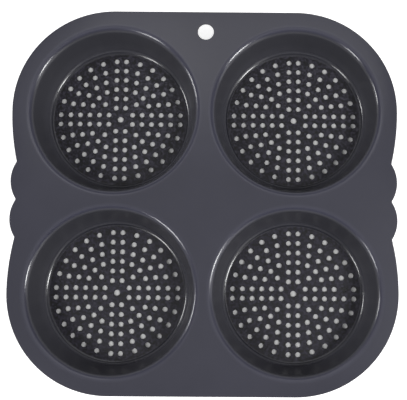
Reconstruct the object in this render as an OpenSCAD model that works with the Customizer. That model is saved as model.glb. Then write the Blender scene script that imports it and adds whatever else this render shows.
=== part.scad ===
// Hamburger bun pan: one steel sheet pressed into four tapered round cups with perforated floors.
// The origin lies on the resting plane, below the middle of the pan. +Y points to the hang hole.

/* [Layout] */
// Thickness of the sheet, coating included
sheet = 0.8; // [0.6:0.1:1.2]
// Width of the flange between the mouths of neighbouring cups, the same along X and Y
cup_gap = 12.9; // [11:0.1:18]
// Width of the flange outside the mouths of the cups, all round the corners
flange_width = 13.5; // [10:0.1:18]

/* [Cups] */
// Diameter at which the line of the wall meets the top of the flange
mouth_d = 114.6; // [100:0.1:130]
// How much narrower a cup is at the top of its floor than at its mouth
taper = 12.4; // [8:0.1:16]
// Depth from the top of the flange to the top of the cup floor
cup_depth = 22; // [16:0.5:34]
// Radius of the upper side of the bend from the flange into the wall
rim_bend_r = 5; // [2:0.1:5.6]
// Radius of the upper side of the bend from the wall into the floor
base_bend_r = 4; // [1:0.1:4.6]

/* [Perforation] */
// Diameter of the holes in the rings
hole_d = 3.8; // [2:0.1:4.4]
// Diameter of the single hole in the middle of a cup
middle_hole_d = 4.4; // [2:0.1:6]
// Distance between the two holes of each pair that straddles an axis of the cup
pair_gap = 6.9; // [5.8:0.1:7.4]
// Distance from the middle of the cup to the innermost pairs, along the axis
first_row = 8.7; // [8.5:0.1:9.2]
// Distance between one ring and the next, along the axes of the cup
ring_gap = 7; // [6.6:0.1:7]
// Holes between one axis pair and the next, for each ring from the middle outwards
holes_between = [0, 1, 3, 4, 5, 5];
// Depth of the one mark in the cup at +X -Y that the punch did not go through
blind_depth = 0.3; // [0.1:0.05:0.5]

/* [Outline] */
// Radius of the shallow curve from each corner in to the finger grips
flank_r = 165; // [150:1:200]
// Radius of the round finger grips, two on each side
grip_r = 24.1; // [20:0.1:27]
// Distance between the centres of the two grips on one side
grip_gap = 26.6; // [22:0.2:30]
// How far the grips stay inside the widest part of the corners
grip_inset = 0.4; // [0:0.1:2]
// Radius that softens the three notches beside and between the grips
notch_r = 1.5; // [0.5:0.1:3]

/* [Hang hole] */
// Diameter of the hole that the pan hangs by
hang_hole_d = 11.2; // [6:0.1:14]
// Distance from the middle of the hang hole to the edge above it
hang_hole_inset = 14.4; // [10:0.1:20]

/* [Hidden] */
$fn = 96;
// Facets of a small hole
hole_fn = 32;
// Half the distance between the centres of neighbouring cups, which is how far they lie from both axes
cup_at = (mouth_d + cup_gap) / 2;
// Radius of the four corners, centred on the cups
corner_r = mouth_d / 2 + flange_width;
// Half the width and half the length of the whole pan
half_width = cup_at + corner_r;
// Height of the underside of the flange above the resting plane
flange_z = cup_depth;
// Lean of the wall away from upright, in degrees
wall_lean = atan2(taper / 2, cup_depth);
// How far a bend reaches from the corner that it rounds, as a share of its radius
bend_reach = tan((90 - wall_lean) / 2);
// Where the flat of the flange ends and the flat of the floor ends, from the middle of the cup
flange_start_r = mouth_d / 2 + rim_bend_r * bend_reach;
floor_end_r = (mouth_d - taper) / 2 - base_bend_r * bend_reach;
// Centres of the two bends in the section of a cup
rim_bend_at = [flange_start_r, flange_z + sheet - rim_bend_r];
base_bend_at = [floor_end_r, sheet + base_bend_r];
// Straight steps that each bend is drawn with
bend_steps = 8;
// Where the unpierced mark lies in its cup: the upper hole of the pair at +X in the fifth ring
blind_ring = 4;
blind_at = [ring_row(blind_ring), pair_gap / 2];
// Centre of the upper grip on the +X side
grip_at = [half_width - grip_inset - grip_r, grip_gap / 2];
// Centre of the curve that runs from the +X +Y corner in to that grip
flank_at = [half_width - flank_r, cup_at];
// How far the notch circles run into their neighbours, so that they cross and do not just touch
tuck = 0.002;

// Point outside two circles that is at the distances a and b from their centres, to their right
function outer_point(from, a, to, b) =
    let (
        gap = norm(to - from),
        along = (a * a - b * b + gap * gap) / (2 * gap),
        across = sqrt(a * a - along * along),
        way = (to - from) / gap
    )
    from + along * way + across * [way.y, -way.x];

// Distance from the middle of the cup to the pairs of a ring, along the axis
function ring_row(ring) = first_row + ring_gap * ring;

// Radius of the circle that the centres of a ring's holes lie on
function ring_r(ring) = norm([pair_gap / 2, ring_row(ring)]);

// Whether a ring's holes lie on the flat of the floor, clear of the bend
function ring_fits(ring) = ring_r(ring) + hole_d / 2 < floor_end_r;

// Holes of one ring, pairs beside the axes and the holes spread evenly between them
module hole_ring(ring) {
    pair_angle = atan2(pair_gap / 2, ring_row(ring));
    steps = holes_between[ring] + 1;
    for (quarter = [0:3])
        for (step = [0:steps])
            rotate(90 * quarter + pair_angle + (90 - 2 * pair_angle) * step / steps)
                translate([ring_r(ring), 0])
                    circle(d = hole_d, $fn = hole_fn);
}

// All the holes of one cup, seen from above: as many rings as its floor has room for
module perforation() {
    circle(d = middle_hole_d, $fn = hole_fn);
    for (ring = [0:len(holes_between) - 1])
        if (ring_fits(ring)) hole_ring(ring);
}

// Flat floor of a cup; one cup has a mark where the punch did not go through
module cup_floor(with_blind_mark) {
    difference() {
        linear_extrude(sheet) {
            difference() {
                circle(r = floor_end_r);
                difference() {
                    perforation();
                    if (with_blind_mark) translate(blind_at) circle(d = hole_d + pair_gap / 4);
                }
            }
        }
        if (with_blind_mark)
            translate([blind_at.x, blind_at.y, sheet - blind_depth])
                cylinder(d = hole_d, h = sheet, $fn = hole_fn);
    }
}

// Points along an arc about a centre, from one angle to another
function arc_points(centre, radius, from_angle, to_angle) = [
    for (step = [0:bend_steps])
        let (angle = from_angle + (to_angle - from_angle) * step / bend_steps)
            centre + radius * [cos(angle), sin(angle)]
];

// Section of a cup from the flange to the flat of the floor: upper bend, straight wall, lower bend.
// The upper side of the sheet is drawn inwards and the underside back out.
module wall_section() {
    polygon(concat(
        arc_points(rim_bend_at, rim_bend_r, 90, 180 - wall_lean),
        arc_points(base_bend_at, base_bend_r, 360 - wall_lean, 270),
        arc_points(base_bend_at, base_bend_r + sheet, 270, 360 - wall_lean),
        arc_points(rim_bend_at, rim_bend_r - sheet, 180 - wall_lean, 90)
    ));
}

// One cup, with its middle on the Z axis
module cup(with_blind_mark = false) {
    rotate_extrude() wall_section();
    cup_floor(with_blind_mark);
}

// Quarter of the outline of the pan at +X +Y, with its finger grip
module outline_quarter() {
    reach = notch_r - tuck;
    notch_between = [grip_at.x + sqrt(pow(grip_r + reach, 2) - pow(grip_at.y, 2)), 0];
    notch_above = outer_point(grip_at, grip_r + reach, flank_at, flank_r + reach);
    square([cup_at, half_width]);
    intersection() {
        translate([cup_at, cup_at]) circle(r = corner_r);
        translate([cup_at, cup_at]) square(2 * corner_r);
    }
    intersection() {
        translate(flank_at) circle(r = flank_r);
        square([2 * half_width, cup_at]);
    }
    intersection() {
        translate(grip_at) circle(r = grip_r);
        square([2 * half_width, cup_at]);
    }
    difference() {
        polygon([[grip_at.x, 0], grip_at, notch_between]);
        translate(notch_between) circle(r = notch_r);
    }
    difference() {
        polygon([flank_at, grip_at, notch_above]);
        translate(notch_above) circle(r = notch_r);
    }
}

// Whole outline, four mirrored quarters
module outline() {
    for (side = [0, 1])
        mirror([side, 0])
            for (end = [0, 1])
                mirror([0, end]) outline_quarter();
}

// Flat flange round the cups, with the hang hole
module flange() {
    translate([0, 0, flange_z]) {
        linear_extrude(sheet) {
            difference() {
                outline();
                for (x = [-cup_at, cup_at])
                    for (y = [-cup_at, cup_at])
                        translate([x, y]) circle(r = flange_start_r);
                translate([0, half_width - hang_hole_inset]) circle(d = hang_hole_d);
            }
        }
    }
}

// The whole pan, one sheet
module pan() {
    color([0.28, 0.275, 0.31]) {
        union() {
            flange();
            for (x = [-cup_at, cup_at])
                for (y = [-cup_at, cup_at])
                    translate([x, y, 0]) cup(with_blind_mark = x > 0 && y < 0 && ring_fits(blind_ring));
        }
    }
}

pan();
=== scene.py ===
"""Hamburger bun pan, pressed from one coated steel sheet: the dressed sheet, a plain studio and the camera.

Everything is in metres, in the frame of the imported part: the origin lies on the resting plane under the
middle of the pan, +Y points to the hang hole and +Z up out of the open cups.
"""

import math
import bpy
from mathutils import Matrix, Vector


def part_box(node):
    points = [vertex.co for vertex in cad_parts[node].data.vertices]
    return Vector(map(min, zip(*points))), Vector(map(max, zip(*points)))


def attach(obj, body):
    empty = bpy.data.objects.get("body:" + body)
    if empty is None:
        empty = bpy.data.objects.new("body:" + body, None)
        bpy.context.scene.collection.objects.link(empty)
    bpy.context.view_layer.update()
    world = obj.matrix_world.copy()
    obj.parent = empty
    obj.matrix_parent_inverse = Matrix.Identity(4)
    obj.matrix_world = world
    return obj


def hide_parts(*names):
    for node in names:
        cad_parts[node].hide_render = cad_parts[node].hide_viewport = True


bl_info = {
    "name": "Hamburger Bun Pan",
    "version": (1, 0, 0),
    "blender": (4, 5, 0),
    "location": "3D View > Sidebar > Bun Pan",
    "description": "Presses a four-cup perforated bun pan from one coated sheet, in a plain studio",
    "category": "Object",
}

import bpy
from bpy.props import FloatProperty, FloatVectorProperty, IntProperty, PointerProperty
from mathutils import Vector

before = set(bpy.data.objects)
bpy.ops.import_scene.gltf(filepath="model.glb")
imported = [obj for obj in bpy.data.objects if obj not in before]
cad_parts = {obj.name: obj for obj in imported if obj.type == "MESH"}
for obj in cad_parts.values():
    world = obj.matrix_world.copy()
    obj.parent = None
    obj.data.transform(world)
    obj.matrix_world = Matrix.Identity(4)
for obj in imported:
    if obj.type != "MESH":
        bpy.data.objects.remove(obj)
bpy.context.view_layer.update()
top_of_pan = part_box("pan")[1].z


class SheetSizes(bpy.types.PropertyGroup):
    """Sizes of the pressed sheet, as the part's source gives them or works them out."""

    cup_pitch: FloatProperty(
        name="Cup pitch",
        description="Distance between the centres of neighbouring cups",
        default=0.1275,
        unit="LENGTH",
    )
    sheet: FloatProperty(
        name="Sheet",
        description="Thickness of the sheet with its coating",
        default=0.0008,
        unit="LENGTH",
    )
    mouth_d: FloatProperty(
        name="Mouth",
        description="Diameter at which the line of the wall meets the top of the flange",
        default=0.1146,
        unit="LENGTH",
    )
    base_d: FloatProperty(
        name="Foot",
        description="Diameter at which the line of the wall meets the cup floor",
        default=0.1022,
        unit="LENGTH",
    )
    rim_bend_r: FloatProperty(
        name="Rim bend",
        description="Radius of the bend from the flange into the wall",
        default=0.005,
        unit="LENGTH",
    )
    base_bend_r: FloatProperty(
        name="Foot bend",
        description="Radius of the bend from the wall into the floor",
        default=0.004,
        unit="LENGTH",
    )
    hole_d: FloatProperty(
        name="Holes",
        description="Diameter of the holes in the rings",
        default=0.0038,
        unit="LENGTH",
    )
    middle_hole_d: FloatProperty(
        name="Middle hole",
        description="Diameter of the single hole in the middle of a cup",
        default=0.0044,
        unit="LENGTH",
    )
    pair_gap: FloatProperty(
        name="Pair gap",
        description="Distance between the two holes that straddle an axis of the cup",
        default=0.0069,
        unit="LENGTH",
    )
    first_row: FloatProperty(
        name="First row",
        description="Distance from the middle of the cup to the innermost pairs",
        default=0.0087,
        unit="LENGTH",
    )
    ring_gap: FloatProperty(
        name="Ring gap",
        description="Distance between one ring of holes and the next",
        default=0.007,
        unit="LENGTH",
    )
    blind_depth: FloatProperty(
        name="Blind mark",
        description="Depth of the one mark that the punch did not go through",
        default=0.0003,
        unit="LENGTH",
    )
    corner_r: FloatProperty(
        name="Corners",
        description="Radius of the four corners, centred on the cups",
        default=0.0708,
        unit="LENGTH",
    )
    flank_r: FloatProperty(
        name="Flanks",
        description="Radius of the shallow curve from a corner in to the finger grips",
        default=0.165,
        unit="LENGTH",
    )
    grip_r: FloatProperty(
        name="Grips",
        description="Radius of the round finger grips",
        default=0.0241,
        unit="LENGTH",
    )
    grip_gap: FloatProperty(
        name="Grip gap",
        description="Distance between the centres of the two grips on one side",
        default=0.0266,
        unit="LENGTH",
    )
    grip_inset: FloatProperty(
        name="Grip inset",
        description="How far the grips stay inside the widest part of the corners",
        default=0.0004,
        unit="LENGTH",
    )
    notch_r: FloatProperty(
        name="Notches",
        description="Radius that softens the notches beside and between the grips",
        default=0.0015,
        unit="LENGTH",
    )
    hang_hole_d: FloatProperty(
        name="Hang hole",
        description="Diameter of the hole that the pan hangs by",
        default=0.0112,
        unit="LENGTH",
    )
    hang_hole_inset: FloatProperty(
        name="Hang hole inset",
        description="Distance from the middle of the hang hole to the edge above it",
        default=0.0144,
        unit="LENGTH",
    )
    edge_round: FloatProperty(
        name="Edge rounding",
        description="Width of the rounding that the coating leaves on cut edges",
        default=0.00014,
        unit="LENGTH",
    )
    cup_steps: IntProperty(
        name="Cup steps",
        description="Steps round a cup",
        default=144,
    )
    bend_steps: IntProperty(
        name="Bend steps",
        description="Steps across each bend of a cup",
        default=10,
    )
    hole_steps: IntProperty(
        name="Hole steps",
        description="Steps round a small hole",
        default=16,
    )


class CoatingFinish(bpy.types.PropertyGroup):
    """Colours and gloss of the baked-on coating, and the painted light and shade along the cups."""

    flange_colour: FloatVectorProperty(
        name="Flange",
        description="Colour of the coating on the flange, from which the walls take theirs",
        default=(0.0388, 0.0388, 0.0552),
        size=3,
        min=0,
        max=1,
        subtype="COLOR",
    )
    # The cup floors are given a colour much darker than the flange's
    floor_colour: FloatVectorProperty(
        name="Cup floors",
        description="Colour of the coating on the perforated floors, where it lies thicker and darker",
        default=(0.0032, 0.0026, 0.0070),
        size=3,
        min=0,
        max=1,
        subtype="COLOR",
    )
    # Painted shade: the coating is darkened in the foot bend, where the cup floor meets the wall
    foot_painted_shade: FloatProperty(
        name="Foot tone",
        description="How light the coating is at the foot bend, where the flange is 1",
        default=0.45,
        min=0,
        max=2,
    )
    # Painted light: the coating is lightened where the wall runs into the foot bend
    wall_foot_painted_light: FloatProperty(
        name="Wall foot tone",
        description="How light the coating is where the wall runs into the foot bend, where the flange is 1",
        default=1.42,
        min=0,
        max=2,
    )
    # Painted light: the coating is lightened halfway up the wall
    wall_painted_shading: FloatProperty(
        name="Wall tone",
        description="How light the coating is halfway up the wall, where the flange is 1",
        default=1.18,
        min=0,
        max=2,
    )
    wall_blue: FloatProperty(
        name="Wall blue",
        description="How much of the flange's blue the coating keeps on the walls",
        default=0.85,
        min=0,
        max=1,
        subtype="FACTOR",
    )
    # Painted light: the coating is lightened on the rim bend
    rim_painted_light: FloatProperty(
        name="Rim tone",
        description="How light the coating is on the rim bend, where the flange is 1",
        default=1.4,
        min=0,
        max=2,
    )
    gloss: FloatProperty(
        name="Roughness",
        description="Mean roughness of the coating on the flange and the walls",
        default=0.18,
        min=0,
        max=1,
        subtype="FACTOR",
    )
    wall_gloss: FloatProperty(
        name="Wall roughness",
        description="Roughness of the coating halfway up the walls, where it is drawn out and duller",
        default=0.34,
        min=0,
        max=1,
        subtype="FACTOR",
    )
    floor_gloss: FloatProperty(
        name="Floor roughness",
        description="Roughness of the coating on the perforated floors",
        default=0.6,
        min=0,
        max=1,
        subtype="FACTOR",
    )
    foot_coat: FloatProperty(
        name="Foot coat",
        description="How much thicker and glossier the coating runs into the foot bend",
        default=0.2,
        min=0,
        max=1,
        subtype="FACTOR",
    )
    floor_coat: FloatProperty(
        name="Floor coat",
        description="How glossy the lightest spots of the cup floors are",
        default=0.45,
        min=0,
        max=1,
        subtype="FACTOR",
    )
    mottle: FloatProperty(
        name="Mottle",
        description="How much the colour drifts over a few centimetres",
        default=0.08,
        min=0,
        max=1,
        subtype="FACTOR",
    )
    floor_speckle: FloatProperty(
        name="Floor speckle",
        description="How much the colour of the cup floors varies over a millimetre",
        default=0.95,
        min=0,
        max=1,
        subtype="FACTOR",
    )
    speckle_size: FloatProperty(
        name="Speckle size",
        description="Size of the light and dark spots on the cup floors",
        default=0.0015,
        unit="LENGTH",
    )
    grain_size: FloatProperty(
        name="Grain",
        description="Size of the coating's orange-peel grain",
        default=0.0006,
        unit="LENGTH",
    )
    grain_depth: FloatProperty(
        name="Grain depth",
        description="Depth of the coating's orange-peel grain",
        default=0.000004,
        unit="LENGTH",
        precision=6,
    )


class StudioSetup(bpy.types.PropertyGroup):
    """Floor, lamps, sky and camera."""

    table_colour: FloatVectorProperty(
        name="Table",
        description="Colour of the plain pale floor",
        default=(0.8, 0.8, 0.8),
        size=3,
        min=0,
        max=1,
        subtype="COLOR",
    )
    # Painted shadow: a plain grey under the cups stands in for the pan's shadow on the table, seen through
    # the holes
    under_cups_painted_shadow: FloatVectorProperty(
        name="Table under the cups",
        description="Colour of the floor where the cups stand, seen through the perforation",
        default=(0.545, 0.545, 0.545),
        size=3,
        min=0,
        max=1,
        subtype="COLOR",
    )
    sky: FloatProperty(
        name="Sky",
        description="Strength of the even light from all round",
        default=0.05,
        min=0,
    )
    ceiling: FloatProperty(
        name="Ceiling",
        description="How bright the studio's ceiling looks in a reflection, where its walls are 1",
        default=0.65,
        min=0,
        max=1,
        subtype="FACTOR",
    )
    lens: FloatProperty(
        name="Lens",
        description="Focal length of the camera in millimetres",
        default=51.796,
        min=1,
    )
    camera_place: FloatVectorProperty(
        name="Camera place",
        description="Where the camera stands",
        default=(0.032305, -0.074300, 0.424464),
        size=3,
        subtype="TRANSLATION",
        unit="LENGTH",
    )
    camera_turn: FloatVectorProperty(
        name="Camera turn",
        description="How the camera is turned",
        default=(math.radians(3.6460), math.radians(-0.1984), math.radians(0.3875)),
        size=3,
        subtype="EULER",
    )
    camera_shift: FloatVectorProperty(
        name="Camera shift",
        description="Sideways and upward shift of the picture",
        default=(-0.11848, 0.17437),
        size=2,
    )


GROUPS = (("pan_sheet", SheetSizes), ("pan_coating", CoatingFinish), ("pan_studio", StudioSetup))
HOLES_BETWEEN = (0, 1, 3, 4, 5, 5)
BLIND_RING = 4
MERGE = 1e-6

# Steps of the arcs in a quarter of the outline
CORNER_STEPS = 48
FLANK_STEPS = 12
SIDE_NOTCH_STEPS = 8
GRIP_STEPS = 24
MIDDLE_NOTCH_STEPS = 6

# Edges sharper than this are rounded, and those sharper than the second are shaded sharp, in degrees
ROUNDED_ABOVE = 60
SHARP_ABOVE = 50

# Where the floor's finish fades out and where the foot's coat does, in metres past the flat of the floor
FLOOR_FADE = (0.0015, 0.0002)
FOOT_COAT_FADE = (0.0034, 0.0024)
# Where the dull band fades out, in metres from halfway up the wall
WALL_FADE = (0.0034, 0.0020)
# Where the blind mark's dark tone ends, as shares of a hole's diameter, and how dark it is
BLIND_FADE = (0.36, 0.52)
BLIND_TONE = 0.15

# Parts of a noise's range: nearly all of it, the floors' spots and the glossy ones among them
NOISE_RANGE = (0.3, 0.7)
SPOT_RANGE = (0.38, 0.62)
GLOSSY_SPOT_RANGE = (0.5, 0.66)
DRIFT_SCALE = 22
GRAIN_SHARE = 0.3
GLOSS_DRIFT = 0.03
SPECULAR_LEVEL = 0.4
COAT_ROUGHNESS = 0.2

# The stage floor, in metres, and how brightly it shows to the camera and in reflections
TABLE_RADIUS = 4
TABLE_DROP = 0.0002
# Width over which the painted shadow under the cups fades out
PAINTED_SHADOW_FADE = 0.002
TABLE_GLOW = 0.8

# Elevations in degrees between which the studio's walls fade out and its ceiling begins
WALLS_FADE = (40, 8)
CEILING_FADE = (54, 66)


def deselect_all():
    if bpy.context.object is not None and bpy.context.object.mode != "OBJECT":
        bpy.ops.object.mode_set(mode="OBJECT")
    bpy.ops.object.select_all(action="DESELECT")


def start_piece(name):
    """A new empty mesh object at the origin, open in edit mode with vertices selectable."""
    deselect_all()
    bpy.ops.mesh.primitive_plane_add(size=0.01, location=(0, 0, 0))
    piece = bpy.context.object
    piece.name = piece.data.name = name
    bpy.ops.object.mode_set(mode="EDIT")
    bpy.ops.mesh.select_mode(type="VERT")
    bpy.ops.mesh.select_all(action="SELECT")
    bpy.ops.mesh.delete(type="VERT")
    return piece


def add_point(place):
    """One selected vertex at the place, from a plane merged at its centre."""
    bpy.ops.mesh.select_all(action="DESELECT")
    bpy.ops.mesh.primitive_plane_add(size=0.001, location=place)
    bpy.ops.mesh.merge(type="CENTER")


def draw_line(step):
    """Extrudes the selected vertex along a straight step."""
    bpy.ops.mesh.extrude_vertices_move(TRANSFORM_OT_translate={"value": step})


def draw_arc(centre, degrees, steps, axis=(0, 0, 1)):
    """Spins the selected vertex about a centre, counterclockwise round the axis."""
    bpy.ops.mesh.spin(steps=steps, angle=-math.radians(degrees), center=centre, axis=axis)


def add_ring(place, radius, steps):
    bpy.ops.mesh.primitive_circle_add(vertices=steps, radius=radius, fill_type="NOTHING", location=place)


def direction(start, end):
    """Direction of the line from one point to another, in degrees."""
    return math.degrees(math.atan2(end[1] - start[1], end[0] - start[0]))


def turn_between(first, second):
    """Smallest turn from one direction to another, in degrees."""
    return (second - first + 180) % 360 - 180


def section_of(sizes):
    """Points of a cup's section, in its own plane: distance from the middle of the cup and height."""
    depth = top_of_pan - sizes.sheet
    lean = math.degrees(math.atan2((sizes.mouth_d - sizes.base_d) / 2, depth))
    reach = math.tan(math.radians((90 - lean) / 2))
    flange_start = sizes.mouth_d / 2 + sizes.rim_bend_r * reach
    floor_end = sizes.base_d / 2 - sizes.base_bend_r * reach
    return {
        "turn": 90 - lean,
        "flange_start": flange_start,
        "floor_end": floor_end,
        "rim_centre": (flange_start, top_of_pan - sizes.rim_bend_r),
        "base_centre": (floor_end, sizes.sheet + sizes.base_bend_r),
        "lean": lean,
    }


def cup_centres(sizes):
    at = sizes.cup_pitch / 2
    return [Vector((x, y, 0)) for x in (-at, at) for y in (-at, at)]


def hole_places(sizes):
    """Centres of all the holes of one cup but the middle one, ring by ring."""
    places = []
    for ring, between in enumerate(HOLES_BETWEEN):
        row = sizes.first_row + sizes.ring_gap * ring
        pair_angle = math.atan2(sizes.pair_gap / 2, row)
        radius = math.hypot(sizes.pair_gap / 2, row)
        for quarter in range(4):
            for step in range(between + 2):
                angle = math.pi / 2 * quarter + pair_angle
                angle += (math.pi / 2 - 2 * pair_angle) * step / (between + 1)
                places.append((radius * math.cos(angle), radius * math.sin(angle)))
    return places


def blind_place(sizes):
    """Where the unpierced mark lies on the pan, in the cup at +X -Y."""
    at = sizes.cup_pitch / 2
    return Vector((at + sizes.first_row + sizes.ring_gap * BLIND_RING, -at + sizes.pair_gap / 2, sizes.sheet))


def circles_meet(first, r_first, second, r_second):
    """The point to the right of the line from one centre to the other, on both circles."""
    line = Vector(second) - Vector(first)
    along = (r_first**2 - r_second**2 + line.length**2) / (2 * line.length)
    across = math.sqrt(r_first**2 - along**2)
    way = line.normalized()
    return Vector(first) + along * way + across * Vector((way.y, -way.x))


def draw_outline(sizes, height):
    """Draws a quarter of the outline with its finger grip as one chain, and mirrors it twice."""
    at = sizes.cup_pitch / 2
    half = at + sizes.corner_r
    grip = (half - sizes.grip_inset - sizes.grip_r, sizes.grip_gap / 2)
    flank = (half - sizes.flank_r, at)
    reach = sizes.grip_r + sizes.notch_r
    between = (grip[0] + math.sqrt(reach**2 - grip[1] ** 2), 0)
    above = circles_meet(grip, reach, flank, sizes.flank_r + sizes.notch_r)
    add_point((0, half, height))
    draw_line((at, 0, 0))
    draw_arc((at, at, height), -90, CORNER_STEPS)
    draw_arc((*flank, height), direction(flank, above), FLANK_STEPS)
    side_notch = turn_between(direction(above, flank), direction(above, grip))
    draw_arc((*above, height), side_notch, SIDE_NOTCH_STEPS)
    round_grip = turn_between(direction(grip, above), direction(grip, between))
    draw_arc((*grip, height), round_grip, GRIP_STEPS)
    draw_arc((*between, height), turn_between(direction(between, grip), 180), MIDDLE_NOTCH_STEPS)
    for flip in ((-1, 1, 1), (1, -1, 1)):
        bpy.ops.mesh.select_all(action="SELECT")
        bpy.ops.mesh.duplicate()
        bpy.ops.transform.resize(value=flip, center_override=(0, 0, 0))
    bpy.ops.mesh.select_all(action="SELECT")
    bpy.ops.mesh.remove_doubles(threshold=MERGE)


def make_flange(sizes, section):
    """The flat flange: the outline, the four cup mouths and the hang hole, filled between."""
    flange = start_piece("flange")
    draw_outline(sizes, top_of_pan)
    for centre in cup_centres(sizes):
        add_ring((centre.x, centre.y, top_of_pan), section["flange_start"], sizes.cup_steps)
    half = sizes.cup_pitch / 2 + sizes.corner_r
    add_ring((0, half - sizes.hang_hole_inset, top_of_pan), sizes.hang_hole_d / 2, 2 * sizes.hole_steps)
    bpy.ops.mesh.select_all(action="SELECT")
    bpy.ops.mesh.fill(use_beauty=True)
    deselect_all()
    return flange


def make_cups(sizes, section):
    """A perforated floor and its spun wall round the origin, copied to the four places."""
    cups = start_piece("cups")
    add_ring((0, 0, sizes.sheet), section["floor_end"], sizes.cup_steps)
    add_ring((0, 0, sizes.sheet), sizes.middle_hole_d / 2, sizes.hole_steps)
    for x, y in hole_places(sizes):
        add_ring((x, y, sizes.sheet), sizes.hole_d / 2, sizes.hole_steps)
    bpy.ops.mesh.select_all(action="SELECT")
    bpy.ops.mesh.fill(use_beauty=True)
    bpy.ops.mesh.hide()
    rim, base = section["rim_centre"], section["base_centre"]
    lean = math.radians(section["lean"])
    across = (-math.cos(lean), math.sin(lean))
    wall_top = (rim[0] + sizes.rim_bend_r * across[0], rim[1] + sizes.rim_bend_r * across[1])
    wall_foot = (base[0] - sizes.base_bend_r * across[0], base[1] - sizes.base_bend_r * across[1])
    add_point((section["flange_start"], 0, top_of_pan))
    draw_arc((rim[0], 0, rim[1]), section["turn"], sizes.bend_steps, axis=(0, -1, 0))
    draw_line((wall_foot[0] - wall_top[0], 0, wall_foot[1] - wall_top[1]))
    draw_arc((base[0], 0, base[1]), -section["turn"], sizes.bend_steps, axis=(0, -1, 0))
    bpy.ops.mesh.select_all(action="SELECT")
    draw_arc((0, 0, 0), 360, sizes.cup_steps)
    bpy.ops.mesh.reveal()
    bpy.ops.mesh.select_all(action="SELECT")
    bpy.ops.mesh.remove_doubles(threshold=MERGE)
    places = cup_centres(sizes)
    bpy.ops.mesh.select_all(action="SELECT")
    bpy.ops.transform.translate(value=places[0])
    for here, there in zip(places, places[1:]):
        bpy.ops.mesh.duplicate_move(TRANSFORM_OT_translate={"value": there - here})
    deselect_all()
    return cups


def select_near(mesh, place, radius):
    """Selects, in object mode, the vertices within a radius of a place, seen from above."""
    for v in mesh.vertices:
        v.select = (v.co - place).to_2d().length < radius


def close_blind_mark(pan, sizes):
    """Fills the one hole place that stays closed, before the sheet gets its thickness."""
    bpy.ops.object.mode_set(mode="OBJECT")
    mesh = pan.data
    for face in mesh.polygons:
        face.select = False
    for edge in mesh.edges:
        edge.select = False
    select_near(mesh, blind_place(sizes), sizes.hole_d / 2 + 10 * MERGE)
    bpy.ops.object.mode_set(mode="EDIT")
    bpy.ops.mesh.edge_face_add()
    bpy.ops.object.mode_set(mode="OBJECT")


def sink_blind_mark(pan, sizes):
    """Presses the closed place down into the upper side of the sheet."""
    mesh = pan.data
    place = blind_place(sizes)
    bpy.ops.object.mode_set(mode="EDIT")
    bpy.ops.mesh.select_mode(type="FACE")
    bpy.ops.mesh.select_all(action="DESELECT")
    bpy.ops.object.mode_set(mode="OBJECT")
    found = 0
    for face in mesh.polygons:
        near = (face.center - place).length < sizes.hole_d / 8
        face.select = near and face.normal.z > 0.9 and len(face.vertices) > 4
        found += face.select
    if found != 1:
        raise RuntimeError(f"the blind mark has {found} faces to press, and it needs one")
    bpy.ops.object.mode_set(mode="EDIT")
    bpy.ops.mesh.extrude_region_move(TRANSFORM_OT_translate={"value": (0, 0, -sizes.blind_depth)})
    bpy.ops.mesh.select_mode(type="VERT")
    bpy.ops.object.mode_set(mode="OBJECT")


def finish_with(piece, kind, **settings):
    """Adds a modifier with these settings and applies it."""
    bpy.ops.object.modifier_add(type=kind)
    modifier = piece.modifiers[-1]
    for name, value in settings.items():
        setattr(modifier, name, value)
    bpy.ops.object.modifier_apply(modifier=modifier.name)


def new_nodes(material_or_world):
    material_or_world.use_nodes = True
    tree = material_or_world.node_tree
    tree.nodes.clear()
    return tree


def add_node(tree, kind, inputs=None, **settings):
    node = tree.nodes.new(kind)
    for name, value in settings.items():
        setattr(node, name, value)
    for name, value in (inputs or {}).items():
        if isinstance(value, bpy.types.NodeSocket):
            tree.links.new(value, node.inputs[name])
        else:
            node.inputs[name].default_value = value
    return node


def number_math(tree, operation, *values):
    return add_node(tree, "ShaderNodeMath", dict(enumerate(values)), operation=operation).outputs[0]


def vector_math(tree, operation, *values):
    node = add_node(tree, "ShaderNodeVectorMath", dict(enumerate(values)), operation=operation)
    return node.outputs["Value" if operation in ("LENGTH", "DISTANCE") else "Vector"]


def map_range(tree, value, source, target=(0.0, 1.0), smooth=False):
    """Takes a value from one range to another, and keeps it inside."""
    inputs = {
        "Value": value,
        "From Min": source[0],
        "From Max": source[1],
        "To Min": target[0],
        "To Max": target[1],
    }
    kind = "SMOOTHSTEP" if smooth else "LINEAR"
    return add_node(tree, "ShaderNodeMapRange", inputs, interpolation_type=kind).outputs["Result"]


def mix_numbers(tree, factor, first, second):
    return add_node(tree, "ShaderNodeMix", {0: factor, 2: first, 3: second}, data_type="FLOAT").outputs[0]


def mix_colours(tree, factor, first, second):
    return add_node(tree, "ShaderNodeMix", {0: factor, 6: first, 7: second}, data_type="RGBA").outputs[2]


def noise(tree, place, scale, detail, roughness):
    inputs = {"Vector": place, "Scale": scale, "Detail": detail, "Roughness": roughness}
    return add_node(tree, "ShaderNodeTexNoise", inputs).outputs["Fac"]


def cup_distance(tree, place, pitch):
    """Distance from the middle of the nearest cup, across the pan."""
    folded = vector_math(tree, "ABSOLUTE", place)
    flat = vector_math(tree, "MULTIPLY", folded, (1, 1, 0))
    offset = vector_math(tree, "SUBTRACT", flat, (pitch / 2, pitch / 2, 0))
    return vector_math(tree, "LENGTH", offset)


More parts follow.
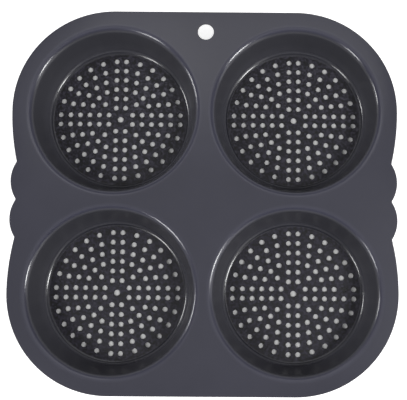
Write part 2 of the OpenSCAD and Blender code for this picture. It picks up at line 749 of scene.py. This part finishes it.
def wall_painted_shading(tree, distance, coating, section):
    """Painted light and shade along a cup, from the foot up to the flange: painted shade in the foot bend,
    painted light up the wall and on the rim bend; the walls also keep less of the flange's blue.
    """
    foot, mouth = section["floor_end"], section["flange_start"]
    # Painted shade in the foot bend, painted light up the wall and on the rim bend, each a tone where the
    # flange is 1
    stops = (
        (foot + 0.0006, coating.foot_painted_shade, 1),
        (foot + 0.0014, coating.foot_painted_shade, 1),
        (foot + 0.0034, coating.wall_foot_painted_light, coating.wall_blue),
        (foot + 0.0044, coating.wall_foot_painted_light, coating.wall_blue),
        (foot + 0.0058, coating.wall_painted_shading, coating.wall_blue),
        (mouth - 0.0040, coating.wall_painted_shading, coating.wall_blue),
        (mouth - 0.0027, coating.rim_painted_light, 1),
        (mouth - 0.0018, coating.rim_painted_light, 1),
        (mouth + 0.0010, 1.0, 1),
    )
    first, last = stops[0][0], stops[-1][0]
    along = map_range(tree, distance, (first, last))
    ramp = add_node(tree, "ShaderNodeValToRGB", {"Fac": along})
    elements = ramp.color_ramp.elements
    for at, _, _ in stops[1:-1]:
        elements.new((at - first) / (last - first))
    # A ramp holds colours up to 1, so the tones are halved in it and doubled after it
    for element, (_, tone, blue) in zip(elements, stops):
        element.color = (tone / 2, tone / 2, tone * blue / 2, 1)
    return vector_math(tree, "MULTIPLY", ramp.outputs["Color"], (2, 2, 2))


def blind_tone(tree, place, sizes):
    """Darkens the one mark that the punch did not go through."""
    away = vector_math(tree, "DISTANCE", place, blind_place(sizes))
    edge = [sizes.hole_d * share for share in BLIND_FADE]
    return map_range(tree, away, edge, (BLIND_TONE, 1.0), smooth=True)


def coating_colour(tree, place, distance, on_floor, grain, drift, spots, coating, sizes, section):
    """Flange and floor colours with painted light and shade along the cups, a soft mottle, speckled floors
    and the dark blind mark.
    """
    with_painted_shading = vector_math(
        tree, "MULTIPLY", coating.flange_colour, wall_painted_shading(tree, distance, coating, section)
    )
    tone = mix_colours(tree, on_floor, with_painted_shading, (*coating.floor_colour, 1))
    mixed = mix_numbers(tree, GRAIN_SHARE, drift, grain)
    level = map_range(tree, mixed, NOISE_RANGE, (1 - coating.mottle, 1 + coating.mottle))
    mottled = vector_math(tree, "MULTIPLY", tone, level)
    spread = coating.floor_speckle
    spot_level = map_range(tree, spots, SPOT_RANGE, (1 - spread, 1 + 2 * spread))
    speckled = mix_numbers(tree, on_floor, 1.0, spot_level)
    factor = number_math(tree, "MULTIPLY", speckled, blind_tone(tree, place, sizes))
    return vector_math(tree, "MULTIPLY", mottled, factor)


def coating_roughness(tree, distance, on_floor, drift, coating, section):
    """Slightly uneven gloss on the flange and the bends, duller walls and dull floors."""
    spread = (coating.gloss - GLOSS_DRIFT, coating.gloss + GLOSS_DRIFT)
    gloss = map_range(tree, drift, NOISE_RANGE, spread)
    half_way = (section["floor_end"] + section["flange_start"]) / 2
    off_middle = number_math(tree, "ABSOLUTE", number_math(tree, "SUBTRACT", distance, half_way))
    on_wall = map_range(tree, off_middle, WALL_FADE, smooth=True)
    gloss = mix_numbers(tree, on_wall, gloss, coating.wall_gloss)
    return mix_numbers(tree, on_floor, gloss, coating.floor_gloss)


def coating_coat(tree, distance, on_floor, spots, coating, section):
    """The extra coat: where it runs into the foot bend, and in the lightest spots of the floors."""
    fade = [section["floor_end"] + past for past in FOOT_COAT_FADE]
    off_wall = map_range(tree, distance, fade, (0.0, coating.foot_coat))
    off_floor = number_math(tree, "SUBTRACT", 1.0, on_floor)
    foot_coat = number_math(tree, "MULTIPLY", off_wall, off_floor)
    spot_coat = map_range(tree, spots, GLOSSY_SPOT_RANGE, (0.0, coating.floor_coat))
    return number_math(tree, "MULTIPLY_ADD", spot_coat, on_floor, foot_coat)


def coating_material(coating, sizes, section):
    """Semi-gloss dark coating: mottled flange, painted light and shade along the cups, duller walls, speckled
    floors and fine orange-peel grain.
    """
    material = bpy.data.materials.new("coated_steel")
    tree = new_nodes(material)
    place = add_node(tree, "ShaderNodeTexCoord").outputs["Object"]
    distance = cup_distance(tree, place, sizes.cup_pitch)
    edge = [section["floor_end"] + past for past in FLOOR_FADE]
    on_floor = map_range(tree, distance, edge, smooth=True)
    drift = noise(tree, place, DRIFT_SCALE, 3, 0.55)
    grain = noise(tree, place, 1 / coating.grain_size, 2, 0.6)
    spots = noise(tree, place, 1 / coating.speckle_size, 2, 0.6)
    colour = coating_colour(
        tree, place, distance, on_floor, grain, drift, spots, coating, sizes, section
    )
    bump = add_node(
        tree,
        "ShaderNodeBump",
        {"Height": grain, "Strength": 1.0, "Distance": coating.grain_depth},
    )
    shader = add_node(
        tree,
        "ShaderNodeBsdfPrincipled",
        {
            "Base Color": colour,
            "Roughness": coating_roughness(tree, distance, on_floor, drift, coating, section),
            "Specular IOR Level": SPECULAR_LEVEL,
            "Coat Weight": coating_coat(tree, distance, on_floor, spots, coating, section),
            "Coat Roughness": COAT_ROUGHNESS,
            "Normal": bump.outputs["Normal"],
        },
    )
    add_node(tree, "ShaderNodeOutputMaterial", {"Surface": shader.outputs["BSDF"]})
    return material


class BUNPAN_OT_pressed_sheet(bpy.types.Operator):
    """Press the whole pan from one sheet: flange, four perforated cups, rounded cut edges and coating"""

    bl_idname = "bunpan.pressed_sheet"
    bl_label = "Pressed Sheet"

    def execute(self, context):
        sizes = context.scene.pan_sheet
        section = section_of(sizes)
        flange = make_flange(sizes, section)
        cups = make_cups(sizes, section)
        deselect_all()
        cups.select_set(True)
        flange.select_set(True)
        context.view_layer.objects.active = flange
        bpy.ops.object.join()
        pan = context.object
        pan.name = pan.data.name = "pressed_sheet"
        bpy.ops.object.mode_set(mode="EDIT")
        bpy.ops.mesh.select_all(action="SELECT")
        bpy.ops.mesh.remove_doubles(threshold=MERGE)
        close_blind_mark(pan, sizes)
        bpy.ops.object.mode_set(mode="EDIT")
        bpy.ops.mesh.select_all(action="SELECT")
        bpy.ops.mesh.normals_make_consistent(inside=False)
        bpy.ops.object.mode_set(mode="OBJECT")
        if sum(f.normal.z * f.area for f in pan.data.polygons) < 0:
            bpy.ops.object.mode_set(mode="EDIT")
            bpy.ops.mesh.flip_normals()
            bpy.ops.object.mode_set(mode="OBJECT")
        finish_with(
            pan,
            "SOLIDIFY",
            thickness=sizes.sheet,
            offset=-1,
            use_even_offset=True,
            use_quality_normals=True,
        )
        sink_blind_mark(pan, sizes)
        finish_with(
            pan,
            "BEVEL",
            width=sizes.edge_round,
            segments=1,
            limit_method="ANGLE",
            angle_limit=math.radians(ROUNDED_ABOVE),
        )
        bpy.ops.object.shade_smooth_by_angle(angle=math.radians(SHARP_ABOVE))
        finish_with(pan, "WEIGHTED_NORMAL", mode="FACE_AREA", keep_sharp=True)
        pan.data.materials.clear()
        pan.data.materials.append(coating_material(context.scene.pan_coating, sizes, section))
        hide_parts("pan")
        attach(pan, "root")
        return {"FINISHED"}


def table_material(studio, sizes, section):
    """Pale floor that reads as white round the pan and keeps its shadow, with a painted shadow in plain grey
    under the cups, seen through the holes.
    """
    material = bpy.data.materials.new("table")
    tree = new_nodes(material)
    place = add_node(tree, "ShaderNodeTexCoord").outputs["Object"]
    distance = cup_distance(tree, place, sizes.cup_pitch)
    # The grey painted shadow fades out just past the cup floors, and the table's glow is off inside it
    edge = (section["floor_end"], section["floor_end"] + PAINTED_SHADOW_FADE)
    clear = map_range(tree, distance, edge, smooth=True)
    colour = mix_colours(tree, clear, (*studio.under_cups_painted_shadow, 1), (*studio.table_colour, 1))
    glow = number_math(tree, "MULTIPLY", number_math(tree, "MULTIPLY", seen_rays(tree), clear), TABLE_GLOW)
    diffuse = add_node(tree, "ShaderNodeBsdfDiffuse", {"Color": colour})
    white = add_node(tree, "ShaderNodeEmission", {"Strength": glow})
    both = add_node(tree, "ShaderNodeAddShader", {0: diffuse.outputs[0], 1: white.outputs[0]})
    add_node(tree, "ShaderNodeOutputMaterial", {"Surface": both.outputs[0]})
    return material


def seen_rays(tree):
    """1 for rays that come straight, by a reflection or through glass from the camera, and 0 for light."""
    path = add_node(tree, "ShaderNodeLightPath").outputs
    straight_or_reflected = number_math(tree, "MAXIMUM", path["Is Camera Ray"], path["Is Glossy Ray"])
    return number_math(tree, "MAXIMUM", straight_or_reflected, path["Is Transmission Ray"])


def set_sky(scene, studio):
    """Pale walls and ceiling round the scene for what is seen, and an even soft light at a plain level."""
    world = bpy.data.worlds.new("studio_sky")
    scene.world = world
    tree = new_nodes(world)
    way = add_node(tree, "ShaderNodeTexCoord").outputs["Generated"]
    height = add_node(tree, "ShaderNodeSeparateXYZ", {0: way}).outputs["Z"]
    walls_fade = [math.sin(math.radians(angle)) for angle in WALLS_FADE]
    ceiling_fade = [math.sin(math.radians(angle)) for angle in CEILING_FADE]
    walls = map_range(tree, height, walls_fade, smooth=True)
    ceiling = map_range(tree, height, ceiling_fade, (0.0, studio.ceiling), smooth=True)
    looks = number_math(tree, "ADD", walls, ceiling)
    strength = mix_numbers(tree, seen_rays(tree), studio.sky, looks)
    sky = add_node(tree, "ShaderNodeBackground", {"Color": (1, 1, 1, 1), "Strength": strength})
    add_node(tree, "ShaderNodeOutputWorld", {"Surface": sky.outputs[0]})


# Each lamp hangs 1.5 m from the pan: name, azimuth and elevation in degrees, width, length, power
LAMPS = (
    ("lamp_right", 342.5, 46.2, 0.33, 0.33, 12.2),
    ("lamp_left_near", 212.2, 44.3, 0.33, 0.33, 7.9),
    ("lamp_left_low", 171.6, 24.6, 0.38, 0.33, 7.2),
    ("lamp_far", 90, 60, 0.9, 0.5, 1.4),
    ("lamp_far_left", 125, 58, 0.6, 0.5, 0.45),
    ("lamp_high_right", 0, 65, 0.6, 0.5, 0.4),
    ("lamp_top", 90, 84, 0.9, 0.9, 0.4),
    ("lamp_low_right", 335, 24, 1.4, 0.8, 5.0),
)
LAMP_DISTANCE = 1.5


class BUNPAN_OT_stage(bpy.types.Operator):
    """Set the pale floor, the even sky, the soft lamps and the camera at the photograph's angle"""

    bl_idname = "bunpan.stage"
    bl_label = "Stage"

    def execute(self, context):
        scene = context.scene
        studio = scene.pan_studio
        sizes = scene.pan_sheet
        deselect_all()
        bpy.ops.mesh.primitive_circle_add(vertices=96, radius=TABLE_RADIUS, fill_type="NGON")
        table = context.object
        table.name = table.data.name = "table"
        bpy.ops.object.mode_set(mode="EDIT")
        bpy.ops.mesh.select_all(action="SELECT")
        bpy.ops.transform.translate(value=(0, 0, -TABLE_DROP))
        bpy.ops.object.mode_set(mode="OBJECT")
        table.data.materials.append(table_material(studio, sizes, section_of(sizes)))
        for name, azimuth, elevation, width, length, power in LAMPS:
            turn, rise = math.radians(azimuth), math.radians(elevation)
            level = LAMP_DISTANCE * math.cos(rise)
            place = (level * math.cos(turn), level * math.sin(turn), LAMP_DISTANCE * math.sin(rise))
            deselect_all()
            bpy.ops.object.light_add(type="AREA", location=place)
            lamp = context.object
            lamp.name = lamp.data.name = name
            lamp.data.shape = "RECTANGLE"
            lamp.data.size = width
            lamp.data.size_y = length
            lamp.data.energy = power
            lamp.visible_camera = False
            lamp.rotation_euler = Vector(place).to_track_quat("Z", "Y").to_euler()
        set_sky(scene, studio)
        deselect_all()
        bpy.ops.object.camera_add(location=studio.camera_place, rotation=studio.camera_turn)
        camera = context.object
        camera.name = camera.data.name = "camera"
        camera.data.sensor_width = 36
        camera.data.lens = studio.lens
        camera.data.shift_x, camera.data.shift_y = studio.camera_shift
        camera.data.clip_start = 0.01
        scene.camera = camera
        scene.view_settings.view_transform = "Standard"
        return {"FINISHED"}


class BUNPAN_PT_sidebar(bpy.types.Panel):
    """Buttons and sizes of the bun pan"""

    bl_idname = "BUNPAN_PT_sidebar"
    bl_label = "Bun Pan"
    bl_space_type = "VIEW_3D"
    bl_region_type = "UI"
    bl_category = "Bun Pan"

    def draw(self, context):
        layout = self.layout
        layout.operator(BUNPAN_OT_pressed_sheet.bl_idname)
        layout.operator(BUNPAN_OT_stage.bl_idname)
        for name, group in GROUPS:
            box = layout.box()
            settings = getattr(context.scene, name)
            for prop in group.__annotations__:
                box.prop(settings, prop)


CLASSES = (
    SheetSizes,
    CoatingFinish,
    StudioSetup,
    BUNPAN_OT_pressed_sheet,
    BUNPAN_OT_stage,
    BUNPAN_PT_sidebar,
)


def register():
    for cls in CLASSES:
        bpy.utils.register_class(cls)
    for name, group in GROUPS:
        setattr(bpy.types.Scene, name, PointerProperty(type=group))


def unregister():
    for name, _ in GROUPS:
        delattr(bpy.types.Scene, name)
    for cls in reversed(CLASSES):
        bpy.utils.unregister_class(cls)


def main():
    register()
    bpy.ops.bunpan.pressed_sheet()
    bpy.ops.bunpan.stage()


if __name__ == "__main__":
    main()
